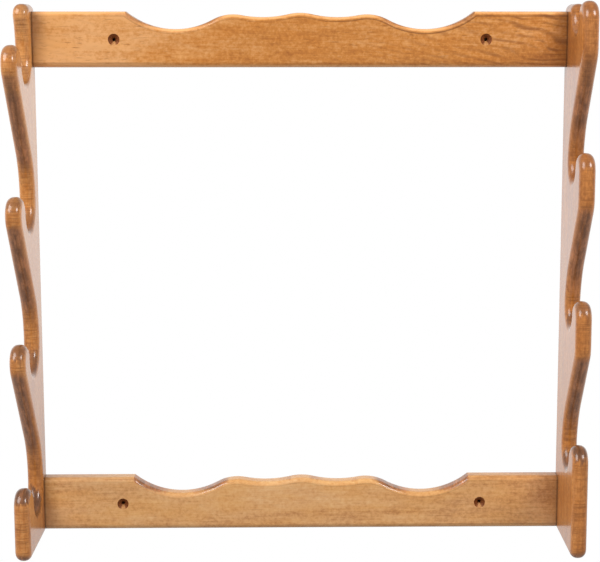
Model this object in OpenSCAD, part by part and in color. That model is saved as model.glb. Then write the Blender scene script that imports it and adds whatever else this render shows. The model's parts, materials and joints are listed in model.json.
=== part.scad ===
// Wall rack with four places: two profiled side boards joined by two scalloped rails.
// Each side board has four upturned hooks. The left hooks have wide notches and the right hooks
// have narrow ones that sit higher, so a long object rests across each pair of hooks.
// Origin: centre of the four wall screws on the wall plane. +Z is up and -Y points away from the wall.

/* [Rack] */
// Clear width between the two side boards
clear_w = 585; // [520:1:700]
// Thickness of every board
board_t = 17.5; // [17:0.5:22]
// Height of the side boards above the screw centre
top_z = 300; // [298:1:306]
// Height of the side boards below the screw centre
foot_z = 297.5; // [294:0.5:300]
// How far the hooks stand out from the wall
depth = 120; // [118:1:126]
// Vertical distance from one hook to the next
pitch = 158.75; // [156:0.25:162]

/* [Hooks] */
// Radius of the rounded hook tips
tip_r = 19; // [18:0.5:20]
// Radius of the round-over on both faces of the side boards
side_round = 8; // [3:0.5:8]
// Angle between the wall and the straight slope under each hook
slope = 39.5; // [38:0.5:41]

/* [Left side board] */
// Height of the second hook's tip centre on the left
left_tip_z = 79.5; // [76:0.5:84]
// Radius of the wide notches
left_notch_r = 28; // [27:0.5:29]
// Distance from the wall to the centre of the wide notches
left_notch_y = 54.5; // [54.5:0.5:56]
// Radius under the front of the left hooks
left_chin_r = 24; // [22:1:28]
// Straight front below each left hook tip
left_front = 1; // [1:1:4]
// Radius of the hollow that runs down into each left notch
left_hollow_r = 78; // [72:1:84]

/* [Right side board] */
// Height of the second hook's tip centre on the right
right_tip_z = 125; // [122:1:128]
// Radius of the narrow notches
right_notch_r = 19.5; // [19:0.5:20]
// Distance from the wall to the centre of the narrow notches
right_notch_y = 63; // [63:0.5:64]
// Radius under the front of the right hooks
right_chin_r = 30; // [26:1:34]
// Straight front below each right hook tip
right_front = 28; // [26:1:30]
// Radius of the hollow that runs down into each right notch
right_hollow_r = 95; // [88:1:98]

/* [Rails] */
// Height of each rail at its square ends
rail_h = 60.5; // [58:0.5:64]
// Radius of the round-over along the top and bottom front edges
rail_round = 6; // [2:0.5:8]
// Distance from one side valley of a rail to the middle
valley_x = 136.5; // [130:0.5:142]
// Depth of the side valleys
valley_d = 19; // [17:0.5:21]
// Radius of the side valleys
valley_r = 85.5; // [80:0.5:90]
// Distance from one shallow dip of a rail to the middle
dip_x = 41; // [39:0.5:43]
// Depth of the shallow dips
dip_d = 6; // [5.5:0.5:7]
// Radius of the shallow dips
dip_r = 125; // [115:1:135]
// Radius of the crests beside the valleys
crest_r = 48; // [44:1:52]
// Radius of the middle crest
middle_r = 58; // [54:1:62]

/* [Wall screws] */
// Distance between the left and right wall screws, one stud spacing
screw_dx = 406.4; // [380:0.1:420]
// Distance between the upper and lower wall screws
screw_dz = 523.2; // [518:0.1:526]
// Diameter of the wall screw holes
wall_hole_d = 3.6; // [3:0.1:6]
// Diameter of the countersinks of the wall screws at the face of the rail
sink_d = 12.7; // [9:0.1:14]
// Full angle of those countersinks
sink_angle = 90; // [82:1:100]

/* [Assembly screws] */
// Distance between the two screws of a joint
joint_dz = 32; // [28:1:34]
// Diameter of the wooden plugs over the screws
plug_d = 9.5; // [9:0.1:11]
// Thickness of the wooden plugs
plug_t = 6; // [5:0.5:7]
// Length of the assembly screws
screw_l = 38; // [35:1:45]
// Diameter of the screw shanks
shank_d = 4; // [3.5:0.1:4.4]

/* [Hidden] */
HOOKS = 4;
$fn = 96;

ARC = 1;            // convex stretch, with wood inside the circle
HOLLOW = -1;        // concave stretch, with wood outside the circle
LINE = 0;           // straight stretch
arc_step = 12;      // largest angle between two points of an arc
valley_steps = 8;   // points along each side valley of a rail
margin = 1;         // how far cutters run past the wood
bottom_z = -foot_z;
rail_z = screw_dz / 2;
corner_r = 12;      // bottom front corner of the side boards
crown_r = 12;       // top front corner of the side boards
head_d = 8;         // assembly screw head
head_h = 3.4;
bore_gap = 0.2;     // play around the screws
pilot_l = screw_l + plug_t - board_t + 2;   // pilot hole in the rail's end

function dir(a) = [cos(a), sin(a)];
function angle_of(v) = atan2(v[1], v[0]);
// Same direction, counted from 0 to 360 degrees
function full_angle(v) = angle_of(v) < 0 ? angle_of(v) + 360 : angle_of(v);

// Circle of radius r whose centre lies below two hollows and touches both of them
function crest_centre(c1, r1, c2, r2, r) =
    let (d = norm(c2 - c1), e = (c2 - c1) / d,
         t = ((r1 + r) * (r1 + r) - (r2 + r) * (r2 + r) + d * d) / (2 * d),
         h = sqrt((r1 + r) * (r1 + r) - t * t))
    c1 + t * e + h * (e[0] > 0 ? [e[1], -e[0]] : [-e[1], e[0]]);

// ---- side board profile: first coordinate away from the wall, second coordinate up ----

function tip_centre(tip_z, k) = [depth - tip_r, tip_z + (1 - k) * pitch];
// The notch circle touches the tip circle from behind
function notch_centre(tip_z, k, r, y) =
    tip_centre(tip_z, k) + [y - depth + tip_r, sqrt(pow(r + tip_r, 2) - pow(depth - tip_r - y, 2))];

// Slope from the front of hook k - 1 down into notch k: chin, straight slope and hollow
function slope_path(tip_z, k, nr, ny, chin_r, front, hollow_r) =
    let (n = dir(-slope), t = [-sin(slope), -cos(slope)],
         notch = notch_centre(tip_z, k, nr, ny),
         chin = [depth - chin_r, tip_centre(tip_z, k - 1)[1] - front],
         q = chin + chin_r * n,
         v = q + hollow_r * n - notch,
         s = -v * t - sqrt(pow(v * t, 2) - v * v + pow(hollow_r - nr, 2)),
         hollow = q + hollow_r * n + s * t)
    [[ARC, chin, chin_r, 0, -slope],
     [LINE, q, q + s * t],
     [HOLLOW, hollow, hollow_r, 180 - slope, full_angle(notch - hollow)],
     [HOLLOW, notch, nr, full_angle(notch - hollow), 360 + angle_of(tip_centre(tip_z, k) - notch)]];

// Tip of hook k and the straight front below it, down to height z
function tip_path(tip_z, k, nr, ny, z) =
    let (tip = tip_centre(tip_z, k), notch = notch_centre(tip_z, k, nr, ny))
    [[ARC, tip, tip_r, angle_of(notch - tip), 0],
     [LINE, tip + [tip_r, 0], [depth, z]]];

// Top of the board: a flat crown with a rounded front corner that meets the first hollow
function crown_path(hollow) =
    let (c = hollow[1], reach = hollow[2] + crown_r,
         dz = top_z - crown_r - c[1],
         corner = [c[0] - sqrt(reach * reach - dz * dz), top_z - crown_r])
    [[LINE, [0, top_z], [corner[0], top_z]],
     [ARC, corner, crown_r, 90, angle_of(c - corner)],
     [HOLLOW, c, hollow[2], full_angle(corner - c), hollow[4]]];

function board_path(tip_z, nr, ny, chin_r, front, hollow_r) =
    let (first = slope_path(tip_z, 0, nr, ny, chin_r, front, hollow_r))
    concat(crown_path(first[2]), [first[3]],
        [for (k = [0:HOOKS - 1], s = concat(
            tip_path(tip_z, k, nr, ny,
                k < HOOKS - 1 ? tip_centre(tip_z, k)[1] - front : bottom_z + corner_r),
            k < HOOKS - 1 ? slope_path(tip_z, k + 1, nr, ny, chin_r, front, hollow_r) : [])) s],
        [[ARC, [depth - corner_r, bottom_z + corner_r], corner_r, 0, -90],
         [LINE, [depth - corner_r, bottom_z], [0, bottom_z]]]);

left_path = board_path(left_tip_z, left_notch_r, left_notch_y, left_chin_r, left_front, left_hollow_r);
right_path = board_path(right_tip_z, right_notch_r, right_notch_y, right_chin_r, right_front,
                        right_hollow_r);

// ---- rail profile: first coordinate along X, second coordinate up from the rail's centre ----

half_h = rail_h / 2;
valley = [valley_x, half_h - valley_d + valley_r];
dip = [dip_x, half_h - dip_d + dip_r];
crest = crest_centre(dip, dip_r, valley, valley_r, crest_r);
middle = [0, dip[1] - sqrt(pow(dip_r + middle_r, 2) - dip_x * dip_x)];
// Where the valley meets the flat end of the rail once both are moved into the wood by d
function valley_end(d) =
    [valley_x + sqrt(pow(valley_r + d, 2) - pow(valley[1] - half_h + d, 2)), half_h - d];

// Right half of the top edge, from the middle to the end
function half_edge(d) = [
    [ARC, middle, middle_r, 90, angle_of(dip - middle)],
    [HOLLOW, dip, dip_r, 180 + angle_of(dip - middle), full_angle(crest - dip)],
    [ARC, crest, crest_r, angle_of(dip - crest), angle_of(valley - crest)],
    [HOLLOW, valley, valley_r, 180 + angle_of(valley - crest), full_angle(valley_end(d) - valley),
     valley_steps],
    [LINE, [valley_end(d)[0], half_h], [clear_w / 2, half_h]]];

function flip(p) = [-p[0], p[1]];
// The same stretch on the left half, run the other way
function flipped(s) = s[0] == LINE ? [LINE, flip(s[2]), flip(s[1])]
                                   : [s[0], flip(s[1]), s[2], 180 - s[4], 180 - s[3], s[5]];
function edge(d) = let (half = half_edge(d), n = len(half))
    concat([for (i = [n - 1:-1:0]) flipped(half[i])], half);

// ---- shared shapes ----

// Points along a path that is moved into the wood by d
function path_points(path, d) = concat(
    [for (s = path, p = s[0] == LINE ? [s[1] - d * left_of(s[2] - s[1])] : arc_points(s, d)) p],
    [let (s = path[len(path) - 1]) s[2] - d * left_of(s[2] - s[1])]);
function left_of(v) = [-v[1], v[0]] / norm(v);
// A fixed number of points, where a stretch gives one, else one every arc_step degrees
function arc_points(s, d) =
    let (n = is_undef(s[5]) ? max(1, ceil(abs(s[4] - s[3]) / arc_step)) : s[5])
    [for (i = [0:n - 1]) s[1] + (s[2] - s[0] * d) * dir(s[3] + (s[4] - s[3]) * i / n)];

// Triangles that fill an outline, cut off one convex corner at a time
function turn(a, b, c) = cross(b - a, c - a);
function in_triangle(p, a, b, c) = turn(a, b, p) <= 0 && turn(b, c, p) <= 0 && turn(c, a, p) <= 0;
function is_ear(points, ids, i) =
    let (n = len(ids), a = ids[(i + n - 1) % n], b = ids[i], c = ids[(i + 1) % n])
    turn(points[a], points[b], points[c]) < 0
    && len([for (j = ids) if (j != a && j != b && j != c
                              && in_triangle(points[j], points[a], points[b], points[c])) j]) == 0;
function find_ear(points, ids, i = 0) =
    i >= len(ids) || is_ear(points, ids, i) ? i % len(ids) : find_ear(points, ids, i + 1);
function ears(points, ids, done = []) =
    len(ids) == 3 ? concat(done, [ids]) :
    let (n = len(ids), i = find_ear(points, ids))
    ears(points, [for (j = [0:n - 1]) if (j != i) ids[j]],
         concat(done, [[ids[(i + n - 1) % n], ids[i], ids[(i + 1) % n]]]));

// Solid between outlines with equal point counts, each at its own height
module stack(outlines, heights) {
    n = len(outlines[0]);
    top = len(outlines) - 1;
    cap = ears(outlines[0], [for (i = [0:n - 1]) i]);
    polyhedron(
        points = [for (k = [0:top], p = outlines[k]) [p[0], p[1], heights[k]]],
        faces = concat(
            [for (t = cap) [t[2], t[1], t[0]]],
            [for (t = cap) [for (v = t) top * n + v]],
            [for (k = [0:top - 1], i = [0:n - 1], f = let (j = (i + 1) % n)
                [[k * n + i, k * n + j, k * n + n + j], [k * n + i, k * n + n + j, k * n + n + i]]) f]));
}

// Quarter round of radius r in four steps: how far in from the edge, and how far from the face
function round_in(r) = [for (a = [0:22.5:90]) r * (1 - sin(a))];
function round_up(r) = [for (a = [0:22.5:90]) r * (1 - cos(a))];
function reversed(list) = [for (i = [len(list) - 1:-1:0]) list[i]];

// Board with its wall edge at zero and every other edge rounded on both faces, filling x to x + board_t
module side_board(path, x) {
    insets = round_in(side_round);
    levels = round_up(side_round);
    translate([x + board_t, 0, 0]) rotate([90, 0, -90]) stack(
        [for (d = concat(insets, reversed(insets))) path_points(path, d)],
        concat(levels, [for (w = reversed(levels)) board_t - w]));
}

// Rail with its back on the wall plane; the profile's first coordinate runs along X
module rail(z) {
    feet = function(d) [[clear_w / 2, d - half_h], [-clear_w / 2, d - half_h]];
    color("#d39b5f") translate([0, 0, z]) difference() {
        rotate([90, 0, 0]) stack(
            [for (d = concat([0], reversed(round_in(rail_round)))) concat(path_points(edge(d), d), feet(d))],
            concat([0], [for (w = reversed(round_up(rail_round))) board_t - w]));
        for (side = [-1, 1]) {
            translate([side * screw_dx / 2, 0, 0]) wall_hole();
            for (n = [-1, 1]) translate([side * clear_w / 2, -board_t / 2, n * joint_dz / 2])
                rotate([0, -side * 90, 0]) translate([0, 0, -margin])
                    cylinder(d = shank_d + 2 * bore_gap, h = pilot_l + margin);
        }
    }
}

// Through hole, countersunk from the front
module wall_hole() {
    flare = 2 * margin * tan(sink_angle / 2);
    sink_h = (sink_d - wall_hole_d) / 2 / tan(sink_angle / 2);
    rotate([90, 0, 0]) {
        translate([0, 0, -margin]) cylinder(d = wall_hole_d, h = board_t + 2 * margin);
        translate([0, 0, board_t - sink_h])
            cylinder(d1 = wall_hole_d, d2 = sink_d + flare, h = sink_h + margin);
    }
}

// Stepped bore for a plug, a screw head and its shank; z = 0 is the outer face of the side board
module joint_bore() {
    translate([0, 0, -margin]) cylinder(d = plug_d, h = margin + plug_t + head_h);
    cylinder(d = shank_d + 2 * bore_gap, h = board_t + margin);
}

// Pan-head wood screw with a crossed slot, starting under its plug
module assembly_screw() {
    tip_h = 6;
    point_d = 0.6;
    slot_l = 4.4;
    slot_w = 1.2;
    slot_h = 1.8;
    color("silver") difference() {
        union() {
            translate([0, 0, plug_t]) cylinder(d = head_d, h = head_h);
            translate([0, 0, plug_t + head_h]) cylinder(d = shank_d, h = screw_l - head_h - tip_h);
            translate([0, 0, plug_t + screw_l - tip_h]) cylinder(d1 = shank_d, d2 = point_d, h = tip_h);
        }
        for (a = [0, 90]) rotate(a) translate([-slot_l / 2, -slot_w / 2, plug_t - margin])
            cube([slot_l, slot_w, margin + slot_h]);
    }
}

// Wooden plug with a slightly eased outer rim
module plug() {
    ease = 0.4;
    color("#b87c40") {
        cylinder(d1 = plug_d - 2 * ease, d2 = plug_d, h = ease);
        translate([0, 0, ease]) cylinder(d = plug_d, h = plug_t - ease);
    }
}

// Moves a joint piece from z = 0 pointing inwards to its place on a side board
module at_joint(side, level, n) {
    translate([side * (clear_w / 2 + board_t), -board_t / 2, level * rail_z + n * joint_dz / 2])
        rotate([0, -side * 90, 0]) children();
}

module joint_bores(side) {
    for (level = [-1, 1], n = [-1, 1]) at_joint(side, level, n) joint_bore();
}

module left_side_board() {
    color("#c98a4b") difference() {
        side_board(left_path, -clear_w / 2 - board_t);
        joint_bores(-1);
    }
}

module right_side_board() {
    color("#c98a4b") difference() {
        side_board(right_path, clear_w / 2);
        joint_bores(1);
    }
}

module top_rail() {
    rail(rail_z);
}

module bottom_rail() {
    rail(-rail_z);
}

left_side_board();
right_side_board();
top_rail();
bottom_rail();

for (level = [1, -1], side = [-1, 1], n = [1, 2]) {
    place = str(level > 0 ? "top_" : "bottom_", side < 0 ? "left_" : "right_", n);
    at_joint(side, level, 3 - 2 * n) assembly_screw();
    at_joint(side, level, 3 - 2 * n) plug();
}
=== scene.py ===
"""Wooden wall rack with four places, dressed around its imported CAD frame."""

import json
import math

import bmesh
import bpy
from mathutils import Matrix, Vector


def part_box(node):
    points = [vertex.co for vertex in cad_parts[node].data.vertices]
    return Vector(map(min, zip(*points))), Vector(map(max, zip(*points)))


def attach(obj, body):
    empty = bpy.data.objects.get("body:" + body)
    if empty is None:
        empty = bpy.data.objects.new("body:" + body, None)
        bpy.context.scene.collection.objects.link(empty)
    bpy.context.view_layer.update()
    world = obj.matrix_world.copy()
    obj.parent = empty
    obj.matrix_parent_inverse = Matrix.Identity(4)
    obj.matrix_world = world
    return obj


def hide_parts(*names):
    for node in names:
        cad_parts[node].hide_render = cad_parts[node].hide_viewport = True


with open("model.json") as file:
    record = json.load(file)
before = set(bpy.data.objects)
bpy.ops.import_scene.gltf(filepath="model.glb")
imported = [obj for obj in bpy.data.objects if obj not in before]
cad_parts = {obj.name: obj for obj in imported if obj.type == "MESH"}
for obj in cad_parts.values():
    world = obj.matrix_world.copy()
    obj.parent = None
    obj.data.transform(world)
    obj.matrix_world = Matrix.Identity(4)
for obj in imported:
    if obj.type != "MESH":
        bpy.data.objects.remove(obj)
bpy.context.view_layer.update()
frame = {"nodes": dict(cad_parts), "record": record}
MM = 0.001

# ---------------------------------------------------------------- sizes from the frame

rail_low, rail_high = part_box("top_rail")
left_low, left_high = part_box("left_side_board")
CLEAR_W = rail_high[0] - rail_low[0]
BOARD_T = rail_high[1] - rail_low[1]
RAIL_H = rail_high[2] - rail_low[2]
DEPTH = -left_low[1]
TOP_Z = left_high[2]
FOOT_Z = -left_low[2]
SCREWS = next(m for m in frame["record"]["mounts"] if m["name"] == "wall_screws")["dims"]
SCREW_DX = SCREWS["spacing_x_mm"] * MM
SCREW_DZ = SCREWS["spacing_y_mm"] * MM
RAIL_Z = SCREW_DZ / 2

# ---------------------------------------------------------------- sizes as in the CAD source

HOOKS = 4
PITCH = 158.75 * MM
TIP_R = 19 * MM
SLOPE = 39.5
SIDE_ROUND = 8 * MM
RAIL_ROUND = 6 * MM
CORNER_R = 12 * MM
CROWN_R = 12 * MM
LEFT = {"tip_z": 79.5, "notch_r": 28, "notch_y": 54.5, "chin_r": 24, "front": 1, "hollow_r": 78}
RIGHT = {"tip_z": 125, "notch_r": 19.5, "notch_y": 63, "chin_r": 30, "front": 28, "hollow_r": 95}
VALLEY = {"x": 136.5 * MM, "depth": 19 * MM, "r": 85.5 * MM}
DIP = {"x": 41 * MM, "depth": 6 * MM, "r": 125 * MM}
CREST_R = 48 * MM
MIDDLE_R = 58 * MM
WALL_HOLE_R = SCREWS["hole_r_mm"] * MM
SINK_R = 6.35 * MM      # countersink of a wall screw, with a full angle of 90 degrees
SKIN = 0.8 * MM         # wood left at the back of a wall screw hole
PLUG_R = 4.75 * MM
PLUG_T = 6 * MM
HEAD_H = 3.4 * MM
SHANK_BORE_R = 2.2 * MM
JOINT_DZ = 32 * MM
PILOT_L = 28.5 * MM

ARC_STEP = 3.0         # degrees between two points of an arc
ROUND_STEPS = 8        # facets across each round-over
RIM = 0.5 * MM         # flat strip that keeps the shading of a face flat
DIP_STEPS = 12         # points along the stretches of a rail, the same for every inset
CREST_STEPS = 14
VALLEY_STEPS = 24
LATHE_SIDES = 48
SHARP_ANGLE = 28       # degrees above which an edge is shaded sharp
OVERCUT = 1 * MM       # how far cutters run past the wood
ARC, HOLLOW = 1, -1    # convex and concave stretches
LINE = 0

# ---------------------------------------------------------------- outlines


def direction(angle):
    return Vector((math.cos(math.radians(angle)), math.sin(math.radians(angle))))


def angle_of(v):
    return math.degrees(math.atan2(v[1], v[0]))


def full_angle(v):
    return angle_of(v) % 360


def left_of(v):
    return Vector((-v[1], v[0])).normalized()


def arc_points(kind, centre, radius, a0, a1, inset, steps=None):
    """Points of an arc moved into the wood by inset, without its last one."""
    n = steps or max(1, math.ceil(abs(a1 - a0) / ARC_STEP))
    return [centre + (radius - kind * inset) * direction(a0 + (a1 - a0) * i / n) for i in range(n)]


def path_points(path, inset):
    points = []
    for stretch in path:
        if stretch[0] == LINE:
            shift = -inset * left_of(stretch[2] - stretch[1])
            points.append(stretch[1] + shift)
        else:
            points += arc_points(*stretch[:5], inset, *stretch[5:])
    points.append(path[-1][2] + shift)
    return points


def tip_centre(side, k):
    return Vector((DEPTH - TIP_R, side["tip_z"] * MM + (1 - k) * PITCH))


def notch_centre(side, k):
    reach = side["notch_r"] * MM + TIP_R
    across = DEPTH - TIP_R - side["notch_y"] * MM
    return tip_centre(side, k) + Vector((-across, math.sqrt(reach ** 2 - across ** 2)))


def slope_path(side, k):
    """Chin, straight slope and hollow from hook k - 1 down into notch k."""
    chin_r, hollow_r, notch_r = (side[name] * MM for name in ("chin_r", "hollow_r", "notch_r"))
    out, down = direction(-SLOPE), Vector((-math.sin(math.radians(SLOPE)), -math.cos(math.radians(SLOPE))))
    notch = notch_centre(side, k)
    chin = Vector((DEPTH - chin_r, tip_centre(side, k - 1)[1] - side["front"] * MM))
    q = chin + chin_r * out
    v = q + hollow_r * out - notch
    run = -v.dot(down) - math.sqrt(v.dot(down) ** 2 - v.dot(v) + (hollow_r - notch_r) ** 2)
    hollow = q + hollow_r * out + run * down
    meet = full_angle(notch - hollow)
    return [[ARC, chin, chin_r, 0, -SLOPE],
            [LINE, q, q + run * down],
            [HOLLOW, hollow, hollow_r, 180 - SLOPE, meet],
            [HOLLOW, notch, notch_r, meet, 360 + angle_of(tip_centre(side, k) - notch)]]


def tip_path(side, k, z):
    tip = tip_centre(side, k)
    return [[ARC, tip, TIP_R, angle_of(notch_centre(side, k) - tip), 0],
            [LINE, tip + Vector((TIP_R, 0)), Vector((DEPTH, z))]]


def board_path(side):
    """Outline of a side board from the top of its wall edge round the hooks to the foot."""
    first = slope_path(side, 0)
    hollow, hollow_r, last_angle = first[2][1], first[2][2], first[2][4]
    dz = TOP_Z - CROWN_R - hollow[1]
    corner = Vector((hollow[0] - math.sqrt((hollow_r + CROWN_R) ** 2 - dz ** 2), TOP_Z - CROWN_R))
    path = [[LINE, Vector((0, TOP_Z)), Vector((corner[0], TOP_Z))],
            [ARC, corner, CROWN_R, 90, angle_of(hollow - corner)],
            [HOLLOW, hollow, hollow_r, full_angle(corner - hollow), last_angle],
            first[3]]
    for k in range(HOOKS):
        if k < HOOKS - 1:
            path += tip_path(side, k, tip_centre(side, k)[1] - side["front"] * MM)
            path += slope_path(side, k + 1)
        else:
            path += tip_path(side, k, CORNER_R - FOOT_Z)
    path += [[ARC, Vector((DEPTH - CORNER_R, CORNER_R - FOOT_Z)), CORNER_R, 0, -90],
             [LINE, Vector((DEPTH - CORNER_R, -FOOT_Z)), Vector((0, -FOOT_Z))]]
    return path


def rail_points(inset):
    """Closed outline of a rail about its own middle, with only its long edges moved in."""
    half_h = RAIL_H / 2
    valley = Vector((VALLEY["x"], half_h - VALLEY["depth"] + VALLEY["r"]))
    dip = Vector((DIP["x"], half_h - DIP["depth"] + DIP["r"]))
    across = valley - dip
    far, unit = across.length, across.normalized()
    along = ((DIP["r"] + CREST_R) ** 2 - (VALLEY["r"] + CREST_R) ** 2 + far ** 2) / (2 * far)
    crest = dip + along * unit - math.sqrt((DIP["r"] + CREST_R) ** 2 - along ** 2) * left_of(unit)
    middle = Vector((0, dip[1] - math.sqrt((DIP["r"] + MIDDLE_R) ** 2 - DIP["x"] ** 2)))
    reach = math.sqrt((VALLEY["r"] + inset) ** 2 - (valley[1] - half_h + inset) ** 2)
    shoulder = Vector((VALLEY["x"] + reach, half_h - inset))
    half = (arc_points(ARC, middle, MIDDLE_R, 90, angle_of(dip - middle), inset)
            + arc_points(HOLLOW, dip, DIP["r"], 180 + angle_of(dip - middle),
                         full_angle(crest - dip), inset, DIP_STEPS)
            + arc_points(ARC, crest, CREST_R, angle_of(dip - crest),
                         angle_of(valley - crest), inset, CREST_STEPS)
            + arc_points(HOLLOW, valley, VALLEY["r"], 180 + angle_of(valley - crest),
                         full_angle(shoulder - valley), inset, VALLEY_STEPS)
            + [shoulder, Vector((CLEAR_W / 2, half_h - inset))])
    top = [Vector((-p[0], p[1])) for p in reversed(half[1:])] + half
    foot = inset - half_h
    return top + [Vector((CLEAR_W / 2, foot)), Vector((-CLEAR_W / 2, foot))]


def quarter(r):
    """(inset, height) pairs across a round-over, from the face to the edge, with a flat rim first."""
    turns = [math.pi / 2 * i / ROUND_STEPS for i in range(ROUND_STEPS + 1)]
    return [(r + RIM, 0.0)] + [(r * (1 - math.sin(a)), r * (1 - math.cos(a))) for a in turns]


# ---------------------------------------------------------------- meshes


def stacked(name, outlines, place):
    """Closed mesh through outlines of equal length, put in space by place(point, level)."""
    bm = bmesh.new()
    rings = [[bm.verts.new(place(p, level)) for p in points] for points, level in outlines]
    bm.faces.new(rings[0])
    bm.faces.new(reversed(rings[-1]))
    for low, high in zip(rings, rings[1:]):
        for i in range(len(low)):
            j = (i + 1) % len(low)
            bm.faces.new((low[i], high[i], high[j], low[j]))
    bmesh.ops.recalc_face_normals(bm, faces=bm.faces)
    return finished(name, bm)


def finished(name, bm):
    mesh = bpy.data.meshes.new(name)
    bm.to_mesh(mesh)
    bm.free()
    obj = bpy.data.objects.new(name, mesh)
    bpy.context.scene.collection.objects.link(obj)
    return obj


def lathe(bm, profile, origin, axis):
    """Adds a closed turned solid to bm: profile is (radius, height) pairs along axis."""
    turn = Vector((0, 0, 1)).rotation_difference(Vector(axis)).to_matrix()
    rings = []
    for radius, height in profile:
        ring = [turn @ Vector((radius * math.cos(t), radius * math.sin(t), height)) + Vector(origin)
                for t in (2 * math.pi * i / LATHE_SIDES for i in range(LATHE_SIDES))]
        rings.append([bm.verts.new(p) for p in ring])
    bm.faces.new(reversed(rings[0]))
    bm.faces.new(rings[-1])
    for low, high in zip(rings, rings[1:]):
        for i in range(LATHE_SIDES):
            j = (i + 1) % LATHE_SIDES
            bm.faces.new((low[i], low[j], high[j], high[i]))


def bored(obj, cutters):
    """Cuts the (profile, origin, axis) turned solids out of obj and shades it by angle."""
    bm = bmesh.new()
    for profile, origin, axis in cutters:
        lathe(bm, profile, origin, axis)
    tool = finished(obj.name + "_tool", bm)
    cut = obj.modifiers.new("bores", "BOOLEAN")
    cut.operation, cut.object, cut.solver = "DIFFERENCE", tool, "EXACT"
    bpy.context.view_layer.update()
    mesh = bpy.data.meshes.new_from_object(obj.evaluated_get(bpy.context.evaluated_depsgraph_get()))
    obj.modifiers.clear()
    obj.data = mesh
    bpy.data.objects.remove(tool)
    mesh.shade_smooth()
    mesh.set_sharp_from_angle(angle=math.radians(SHARP_ANGLE))
    return obj


def joint_places(side):
    """Centres of the four plugs on the outer face of the left (-1) or right (1) side board."""
    for level in (-1, 1):
        for n in (-1, 1):
            yield Vector((side * (CLEAR_W / 2 + BOARD_T), -BOARD_T / 2, level * RAIL_Z + n * JOINT_DZ / 2))


def side_board(name, side, sign):
    """A side board; sign is -1 on the left and 1 on the right."""
    path = board_path(side)
    near = [(path_points(path, inset), height) for inset, height in quarter(SIDE_ROUND)]
    far = [(points, BOARD_T - height) for points, height in reversed(near)]
    face_x = sign * CLEAR_W / 2
    obj = stacked(name, near + far, lambda p, level: (face_x + sign * level, -p[0], p[1]))
    bore = [(PLUG_R, -OVERCUT), (PLUG_R, PLUG_T + HEAD_H),
            (SHANK_BORE_R, PLUG_T + HEAD_H), (SHANK_BORE_R, BOARD_T + OVERCUT)]
    return bored(obj, [(bore, place, (-sign, 0, 0)) for place in joint_places(sign)])


def rail(name, z):
    """A scalloped rail at height z with its wall screw holes and the pilot holes in its ends."""
    rounds = quarter(RAIL_ROUND)
    levels = [(rail_points(0), 0.0)]
    levels += [(rail_points(inset), BOARD_T - height) for inset, height in reversed(rounds)]
    obj = stacked(name, levels, lambda p, level: (p[0], -level, z + p[1]))
    wall = [(SINK_R + OVERCUT, -OVERCUT), (WALL_HOLE_R, SINK_R - WALL_HOLE_R), (WALL_HOLE_R, BOARD_T - SKIN)]
    pilot = [(SHANK_BORE_R, -OVERCUT), (SHANK_BORE_R, PILOT_L)]
    cutters = [(wall, (s * SCREW_DX / 2, -BOARD_T, z), (0, 1, 0)) for s in (-1, 1)]
    cutters += [(pilot, (s * CLEAR_W / 2, -BOARD_T / 2, z + n * JOINT_DZ / 2), (-s, 0, 0))
                for s in (-1, 1) for n in (-1, 1)]
    return bored(obj, cutters)


# ---------------------------------------------------------------- materials

LACQUER = {"Coat Weight": 1.0, "Coat Roughness": 0.20, "Coat IOR": 1.52, "Specular IOR Level": 0.08}
AMBER = (1.0, 0.94, 0.78)          # tint of the warmer patches
TIP_STAIN = (0.062, 0.024, 0.009)  # stain soaked into the tops of the hooks
FIGURE_TILT = 0.27     # how far the growth lines rise for each metre along the board
FIGURE_LINES = 760.0   # radians of line pattern for each metre across the board
FIGURE_BEND = 52.0     # radians by which the lines wander
RAIL_THIRST = 1.8      # how much sooner the rails' shallow slopes soak up stain
TIPS = (-0.24, 0.24, 1.0, 0.45)    # stain on the hook tips: height from, height to, amounts there


def new_material(name):
    material = bpy.data.materials.new(name)
    material.use_nodes = True
    return material


def scaled(colour, factor):
    return tuple(c * factor for c in colour)


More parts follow.
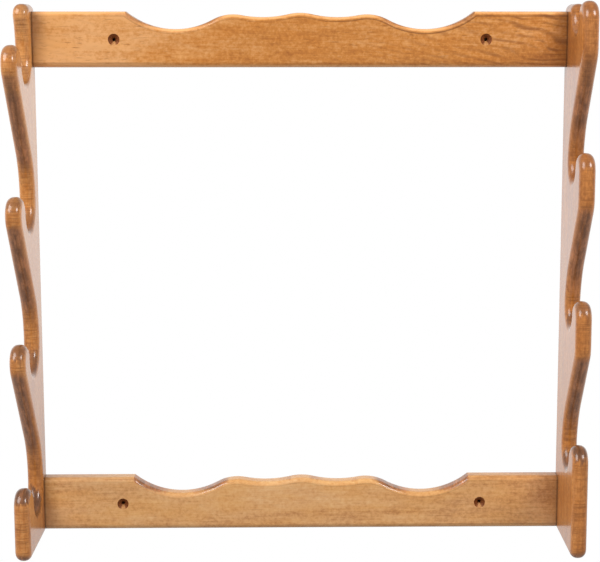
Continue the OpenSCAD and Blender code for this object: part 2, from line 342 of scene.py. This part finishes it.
class Nodes:
    """Short helper for building the node tree of a material or world."""

    def __init__(self, owner):
        self.tree = owner.node_tree
        self.tree.nodes.clear()

    def add(self, kind, inputs=None, **settings):
        node = self.tree.nodes.new(kind)
        for name, value in settings.items():
            setattr(node, name, value)
        for name, value in (inputs or {}).items():
            socket = node.inputs[name]
            if isinstance(value, bpy.types.NodeSocket):
                self.tree.links.new(value, socket)
            else:
                socket.default_value = value
        return node

    def math(self, operation, a, b=0.0):
        return self.add("ShaderNodeMath", {0: a, 1: b}, operation=operation).outputs[0]

    def product(self, first, *others):
        for other in others:
            first = self.math("MULTIPLY", first, other)
        return first

    def weighted(self, *parts):
        """Sum of value * weight over parts, each value taken about its middle of 0.5."""
        total = 0.5
        for value, weight in parts:
            total = self.math("ADD", total, self.product(self.math("SUBTRACT", value, 0.5), weight))
        return total

    def object_place(self):
        return self.add("ShaderNodeTexCoord").outputs["Object"]

    def axes(self, vector):
        return self.add("ShaderNodeSeparateXYZ", {"Vector": vector}).outputs

    def noise(self, vector, detail=2.0, roughness=0.5, distortion=0.0):
        node = self.add("ShaderNodeTexNoise", {"Vector": vector, "Scale": 1.0, "Detail": detail,
                                               "Roughness": roughness, "Distortion": distortion})
        return node.outputs["Fac"]

    def stretched(self, scale, offset=(0, 0, 0)):
        """Object coordinates in metres, scaled to repeats per metre on each axis."""
        inputs = {"Vector": self.object_place(), "Scale": scale, "Location": offset}
        return self.add("ShaderNodeMapping", inputs).outputs[0]

    def ramp(self, value, *stops):
        node = self.add("ShaderNodeValToRGB", {"Fac": value})
        elements = node.color_ramp.elements
        while len(elements) < len(stops):
            elements.new(0.5)
        for element, (place, colour) in zip(elements, stops):
            element.position = place
            element.color = (*colour, 1)
        return node.outputs["Color"]

    def spread(self, value, low, high, out_low=0.0, out_high=1.0):
        """Value taken from the range low to high into the range out_low to out_high, held at its ends."""
        node = self.add("ShaderNodeMapRange", {"Value": value, "From Min": low, "From Max": high,
                                               "To Min": out_low, "To Max": out_high})
        return node.outputs["Result"]

    def mix(self, factor, a, b, blend="MIX"):
        node = self.add("ShaderNodeMix", data_type="RGBA", blend_type=blend)
        for index, value in ((0, factor), (6, a), (7, b)):
            if isinstance(value, bpy.types.NodeSocket):
                self.tree.links.new(value, node.inputs[index])
            else:
                node.inputs[index].default_value = value if index == 0 else (*value, 1)
        return node.outputs[2]


class WoodNodes(Nodes):
    """The patterns in a board with its grain along axis 0, 1 or 2; seed moves them about."""

    def __init__(self, material, axis, seed):
        super().__init__(material)
        self.axis = axis
        self.shift = (seed * 1.37, seed * 0.73, seed * 2.11)
        self.place = self.axes(self.object_place())
        self.normal = self.axes(self.add("ShaderNodeNewGeometry").outputs["Normal"])
        self.along = self.place[axis]
        self.facing = self.math("ABSOLUTE", self.normal[axis])
        self.broad = self.grain(26, 4, 3.0, 0.5, 0.5)
        self.blotch = self.grain(80, 34, 4.0, 0.6)
        self.mottle = self.grain(230, 210, 3.0, 0.7)
        self.streak = self.grain(330, 18, 3.0, 0.6)
        self.fibre = self.grain(1100, 40, 3.0, 0.65)
        self.fleck = self.grain(520, 60, 3.0, 0.6)
        self.pits = self.noise(self.stretched((330, 45, 45), self.shift), 3.0, 0.6)

    def grain(self, across, along, detail, roughness, distortion=0.0):
        """Noise with so many repeats per metre across and along the grain."""
        scale = [along if i == self.axis else across for i in range(3)]
        return self.noise(self.stretched(scale, self.shift), detail, roughness, distortion)


def growth_lines(n, colour, start, full, dark):
    """Dark growth lines that swell up along the board from start to full."""
    bend = n.grain(16, 5.5, 2.0, 0.5, 0.4)
    tilted = n.math("ADD", n.place[2], n.product(n.along, FIGURE_TILT))
    phase = n.math("ADD", n.product(tilted, FIGURE_LINES), n.product(bend, FIGURE_BEND))
    line = n.spread(n.weighted((n.math("SINE", phase), 0.5), (n.streak, 1.2)), 0.2, 0.9)
    strength = n.product(n.spread(n.along, start, full, 0.1, 0.9), n.spread(n.blotch, 0.38, 0.56))
    return n.mix(n.product(line, strength), colour, scaled(dark, 0.75))


def cutter_marks(n, colour, dark):
    """Faint marks that the cutter left across the edges of an upright board."""
    marks = n.noise(n.stretched((25, 25, 560), n.shift), 3.0, 0.6)
    edge = n.spread(n.math("ABSOLUTE", n.normal[0]), 0.55, 0.95, 1.0, 0.0)
    return n.mix(n.product(n.spread(marks, 0.48, 0.66, 0.0, 0.65), edge), colour, scaled(dark, 0.8))


def end_grain(n, colour, end, soaking, tips):
    """Cut fibres soak up stain: the more a surface faces along the grain, the darker it is."""
    upright = n.axis == 2
    facing = n.facing if upright else n.product(n.facing, RAIL_THIRST)
    soak = n.weighted((facing, 1.0), (n.blotch, 0.6), (n.pits, 0.5))
    soaked = n.spread(soak, 0.26, 0.52, 0.0, 0.94 * soaking)
    tone = n.weighted((n.pits, 1.5), (n.blotch, 0.9), (n.fleck, 0.5))
    stain = n.ramp(tone, (0.2, scaled(end, 0.5)), (0.5, end), (0.8, scaled(end, 1.7)))
    if not upright:
        return n.mix(soaked, colour, stain)
    # the slopes under the hooks are dark up to the crown; the hook tips are paler towards the top
    crown = n.spread(n.along, 0.20, 0.25, 1.0, 0.25)
    underside = n.spread(n.normal[2], -0.1, 0.1, 1.0, 0.0)
    colour = n.mix(n.product(soaked, crown, underside), colour, stain)
    upside = n.spread(n.weighted((n.normal[2], 1.0), (n.blotch, 1.0), (n.fleck, 0.9)), 0.16, 0.46)
    return n.mix(n.product(upside, n.spread(n.along, *tips)), colour, n.mix(0.62, stain, TIP_STAIN))


def rail_stain(n, colour, tone, tones, joint, wear_and_highlight):
    """A paler round-over, worn wood with a painted highlight; stain gathered where it meets the face and in
    the joints; and painted shade cast by the side boards over the rail's ends.
    """
    depth = n.math("ADD", n.place[1], BOARD_T)
    gap = n.math("SUBTRACT", CLEAR_W / 2, n.math("ABSOLUTE", n.place[0]))
    # a pale strip on the round-over: paler worn wood with a painted highlight on it
    if wear_and_highlight:
        strip = n.product(n.spread(depth, 0.6 * MM, 1.6 * MM, 0.0, wear_and_highlight),
                          n.spread(depth, 4 * MM, 7 * MM, 1.0, 0.0),
                          n.spread(n.facing, 0.1, 0.3, 1.0, 0.0))
        pale = scaled(tones[2], 1.2)
        colour = n.mix(strip, colour, n.ramp(tone, (0.15, tones[1]), (0.5, pale), (0.85, pale)))
    arris = n.product(n.spread(depth, 0.01 * MM, 0.08 * MM),
                      n.spread(depth, 0.12 * MM, 0.6 * MM, 1.0, 0.0),
                      n.spread(n.broad, 0.40, 0.58, 0.1 * joint, joint),
                      n.spread(n.along, -0.24, 0.24, 0.45, 1.2))
    colour = n.mix(arris, colour, scaled(tones[0], 0.45))
    # painted shade: the rail darkens over its last 18 mm towards each side board, standing in for the
    # boards' shadow
    painted_shade = n.spread(gap, 2 * MM, 18 * MM, 0.25 + 0.3 * joint, 0.0)
    colour = n.mix(painted_shade, colour, scaled(tones[0], 0.4))
    return n.mix(n.spread(gap, 0.0, 2.2 * MM, 0.9, 0.0), colour, scaled(tones[0], 0.12))


def lacquered(n, colour):
    """Satin wood with open pores under a smooth clear coat."""
    pores = n.math("ADD", n.product(n.streak, 0.5), n.product(n.fleck, 0.5))
    bump = n.add("ShaderNodeBump", {"Strength": 0.08, "Distance": 0.4 * MM, "Height": pores})
    ripple = n.noise(n.stretched((30, 30, 30), n.shift), 1.0, 0.5)
    film = n.math("ADD", ripple, n.product(n.streak, 0.02))
    coat_bump = n.add("ShaderNodeBump", {"Strength": 0.03, "Distance": 1 * MM, "Height": film})
    shader = n.add("ShaderNodeBsdfPrincipled",
                   {"Base Color": colour, "Roughness": n.spread(n.broad, 0.3, 0.7, 0.42, 0.52),
                    "Normal": bump.outputs[0], "Coat Normal": coat_bump.outputs[0], **LACQUER})
    n.add("ShaderNodeOutputMaterial", {"Surface": shader.outputs[0]})


def wood(name, axis, seed, tones, end, fade=None, figure=None, joint=0.0, wear_and_highlight=0.0,
         soaking=1.0, flecks=0.5, tips=TIPS):
    """Stained, lacquered hardwood with its grain along axis 0, 1 or 2.

    tones holds the dark, middle and light colours, and end the colour of stain-soaked end grain.
    fade = (from, to, amount) makes the board paler, or darker if negative, towards its first place; on the
    top rail and the left board this paleness is painted light.
    figure = (from, to) is the stretch over which dark growth lines swell up. joint is how much
    stain has gathered along the arrises and in the joints of a rail, and how strong the painted shade
    of the side boards is over its ends; wear_and_highlight is how pale its round-over is, worn wood
    with a painted highlight; soaking how much stain the end grain took up, flecks the strength of
    the dark flecks and tips the stain on the hook tips by height.
    """
    material = new_material(name)
    n = WoodNodes(material, axis, seed)
    tone = n.weighted((n.broad, 0.60), (n.blotch, 0.50), (n.mottle, 0.80), (n.streak, 0.42),
                      (n.fibre, 0.40))
    if fade:
        tone = n.math("ADD", tone, n.spread(n.along, *fade, 0.0))
    colour = n.ramp(tone, (0.15, tones[0]), (0.5, tones[1]), (0.85, tones[2]))
    hue = n.spread(n.grain(45, 14, 3.0, 0.6), 0.38, 0.62)
    colour = n.mix(hue, colour, AMBER, "MULTIPLY")
    if figure:
        colour = growth_lines(n, colour, *figure, tones[0])
    specks = n.product(n.spread(n.fleck, 0.59, 0.70), n.spread(n.broad, 0.4, 0.6, 0.2, flecks))
    colour = n.mix(specks, colour, scaled(tones[0], 0.6))
    if axis == 2:
        colour = cutter_marks(n, colour, tones[0])
    colour = end_grain(n, colour, end, soaking, tips)
    if joint:
        colour = rail_stain(n, colour, tone, tones, joint, wear_and_highlight)
    lacquered(n, colour)
    return material


def bore_wood(name):
    """Rough wood inside a countersink, dark with stain where its grain is cut across, and with painted shade
    on its upper wall, which faces down.
    """
    material = new_material(name)
    n = Nodes(material)
    normal = n.axes(n.add("ShaderNodeNewGeometry").outputs["Normal"])
    tear = n.noise(n.stretched((900, 900, 900)), 3.0, 0.6)
    # darker where the grain is cut across (its own stain), and painted shade where the wall faces down
    cut = n.math("MAXIMUM", n.math("ABSOLUTE", normal[0]), n.product(normal[2], -1.0))
    cut = n.math("ADD", cut, n.product(n.math("SUBTRACT", tear, 0.5), 0.3))
    pale = n.ramp(tear, (0.3, (0.40, 0.17, 0.05)), (0.7, (0.66, 0.33, 0.13)))
    dark = n.ramp(tear, (0.3, (0.100, 0.024, 0.005)), (0.7, (0.300, 0.090, 0.022)))
    bump = n.add("ShaderNodeBump", {"Strength": 0.3, "Distance": 0.4 * MM, "Height": tear})
    shader = n.add("ShaderNodeBsdfPrincipled",
                   {"Base Color": n.mix(n.spread(cut, 0.18, 0.42), pale, dark), "Roughness": 0.55,
                    "Normal": bump.outputs[0], "Specular IOR Level": 0.2})
    n.add("ShaderNodeOutputMaterial", {"Surface": shader.outputs[0]})
    return material


def zinc():
    """Zinc plating with faint spangles."""
    material = new_material("zinc_plate")
    n = Nodes(material)
    spots = n.noise(n.stretched((600, 600, 600)))
    colour = n.ramp(spots, (0.35, (0.42, 0.42, 0.40)), (0.65, (0.62, 0.61, 0.57)))
    rough = n.spread(spots, 0.3, 0.7, 0.28, 0.42)
    shader = n.add("ShaderNodeBsdfPrincipled",
                   {"Base Color": colour, "Roughness": rough, "Metallic": 1.0})
    n.add("ShaderNodeOutputMaterial", {"Surface": shader.outputs[0]})
    return material


SIDE_TONES = ((0.33, 0.108, 0.022), (0.57, 0.215, 0.051), (0.74, 0.35, 0.12))
TOP_TONES = ((0.34, 0.105, 0.016), (0.56, 0.217, 0.042), (0.76, 0.38, 0.145))
LOW_TONES = ((0.44, 0.185, 0.060), (0.70, 0.365, 0.145), (0.82, 0.50, 0.24))
END_TONE = (0.33, 0.125, 0.046)
NEAR_FACE = 0.1 * MM   # faces deeper in the wood than this belong to a bore

# ---------------------------------------------------------------- the object

boards = {
    "left_side_board": side_board("left_board", LEFT, -1),
    "right_side_board": side_board("right_board", RIGHT, 1),
    "top_rail": rail("upper_rail", RAIL_Z),
    "bottom_rail": rail("lower_rail", -RAIL_Z),
}
looks = {
    # painted light: the left board's fade makes it paler towards its top, as if nearer the softboxes above
    "left_side_board": wood("left_board_wood", 2, 1.0, SIDE_TONES, END_TONE, fade=(0.20, -0.06, 0.18)),
    "right_side_board": wood("right_board_wood", 2, 2.0, SIDE_TONES, END_TONE,
                             fade=(0.15, -0.15, -0.2), tips=(-0.19, 0.13, 1.0, 0.35)),
    # painted light: the top rail's fade makes it paler over its left half, as if nearer the broad softbox
    "top_rail": wood("upper_rail_wood", 0, 3.0, TOP_TONES, END_TONE, fade=(-0.29, 0.0, 0.35),
                     figure=(0.05, 0.24), joint=0.7, wear_and_highlight=0.9, soaking=0.65, flecks=0.6),
    "bottom_rail": wood("lower_rail_wood", 0, 4.0, LOW_TONES, END_TONE, fade=(0.29, 0.12, -0.13),
                        joint=0.3, flecks=0.2),
}
for node, board in boards.items():
    board.data.materials.clear()
    board.data.materials.append(looks[node])
    if "rail" in node:
        board.data.materials.append(bore_wood(board.name + "_bore"))
        for face in board.data.polygons:
            off_axis = Vector((abs(face.center.x) - SCREW_DX / 2, abs(face.center.z) - RAIL_Z))
            if off_axis.length < SINK_R and NEAR_FACE - BOARD_T < face.center.y < -NEAR_FACE:
                face.material_index = 1
    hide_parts(node)
    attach(board, "root")

plug_look = wood("plug_wood", 2, 5.0, SIDE_TONES, END_TONE)
screw_look = zinc()
for node, obj in frame["nodes"].items():
    if node.startswith(("plug", "screw")):
        obj.data.materials.clear()
        obj.data.materials.append(plug_look if node.startswith("plug") else screw_look)

# ---------------------------------------------------------------- camera

CAMERA_PLACE = (0.0026, -1.8434, 0.2842)
CAMERA_DOWN = 9.006      # degrees below the horizon
CAMERA_TURN = -0.9375    # degrees about the vertical, negative to the right
CAMERA_LENS = 99.35      # millimetres, on a sensor 36 mm wide
CAMERA_SHIFT = -0.05     # of the sensor's width


def camera():
    """Long lens in front of the rack, a little above its middle and tipped down."""
    data = bpy.data.cameras.new("camera")
    data.sensor_width = 36.0
    data.lens = CAMERA_LENS
    data.shift_x = CAMERA_SHIFT
    data.clip_end = 100
    obj = bpy.data.objects.new("camera", data)
    bpy.context.scene.collection.objects.link(obj)
    obj.location = CAMERA_PLACE
    obj.rotation_euler = (math.radians(90 - CAMERA_DOWN), 0, math.radians(CAMERA_TURN))
    bpy.context.scene.camera = obj


# ---------------------------------------------------------------- studio

FRONT_LEVEL, BACK_LEVEL = 0.42, 1.0    # a dim room in front of a white backdrop
FLOOR_Z = -0.95
FLOOR_REACH = 30


def softbox(name, place, size, watts):
    """Square light aimed at the middle of the rack."""
    data = bpy.data.lights.new(name, "AREA")
    data.shape, data.size, data.size_y = "RECTANGLE", size, size
    data.energy = watts
    obj = bpy.data.objects.new(name, data)
    obj.location = place
    obj.rotation_euler = (-Vector(place)).to_track_quat("-Z", "Y").to_euler()
    bpy.context.scene.collection.objects.link(obj)


def seen_white(n, dimmed):
    """The shader dimmed for all rays but the camera's, which find plain white."""
    white = n.add(dimmed.bl_idname, {"Color": (1, 1, 1, 1), "Strength": 1.0})
    seen = n.add("ShaderNodeLightPath").outputs["Is Camera Ray"]
    return n.add("ShaderNodeMixShader", {0: seen, 1: dimmed.outputs[0], 2: white.outputs[0]}).outputs[0]


def white_world():
    """White for the eye, and for the rack a white backdrop with a dimmer room in front of it."""
    world = bpy.data.worlds.new("white_room")
    world.use_nodes = True
    n = Nodes(world)
    heading = n.axes(n.add("ShaderNodeTexCoord").outputs["Generated"])
    behind = n.spread(heading[1], -0.1, 0.4, 0.0, BACK_LEVEL - FRONT_LEVEL)
    below_ceiling = n.spread(heading[2], 0.15, 0.6, 1.0, 0.0)
    level = n.math("ADD", n.product(behind, below_ceiling), FRONT_LEVEL)
    around = n.add("ShaderNodeBackground", {"Color": (1, 1, 1, 1), "Strength": level})
    n.add("ShaderNodeOutputWorld", {"Surface": seen_white(n, around)})
    bpy.context.scene.world = world


def white_floor():
    """White floor that glows instead of being lit: plain white to the camera, and to the rack a glow that
    rises from the dim front level to white behind it.
    """
    bm = bmesh.new()
    corners = ((-1, -1), (1, -1), (1, 1), (-1, 1))
    bm.faces.new([bm.verts.new((x * FLOOR_REACH, y * FLOOR_REACH, FLOOR_Z)) for x, y in corners])
    floor = finished("floor", bm)
    material = new_material("white_floor")
    n = Nodes(material)
    level = n.spread(n.axes(n.object_place())[1], -0.5, 5.0, FRONT_LEVEL, BACK_LEVEL)
    # painted glow: the floor gives off light of its own, more of it towards the back
    floor_glow = n.add("ShaderNodeEmission", {"Color": (1, 1, 1, 1), "Strength": level})
    n.add("ShaderNodeOutputMaterial", {"Surface": seen_white(n, floor_glow)})
    floor.data.materials.append(material)


bpy.context.scene.view_settings.view_transform = "Standard"
camera()
white_world()
white_floor()
softbox("near", (1.3, -1.1, 1.25), 0.7, 22)
softbox("broad", (-1.8, -1.2, 1.6), 1.7, 58)
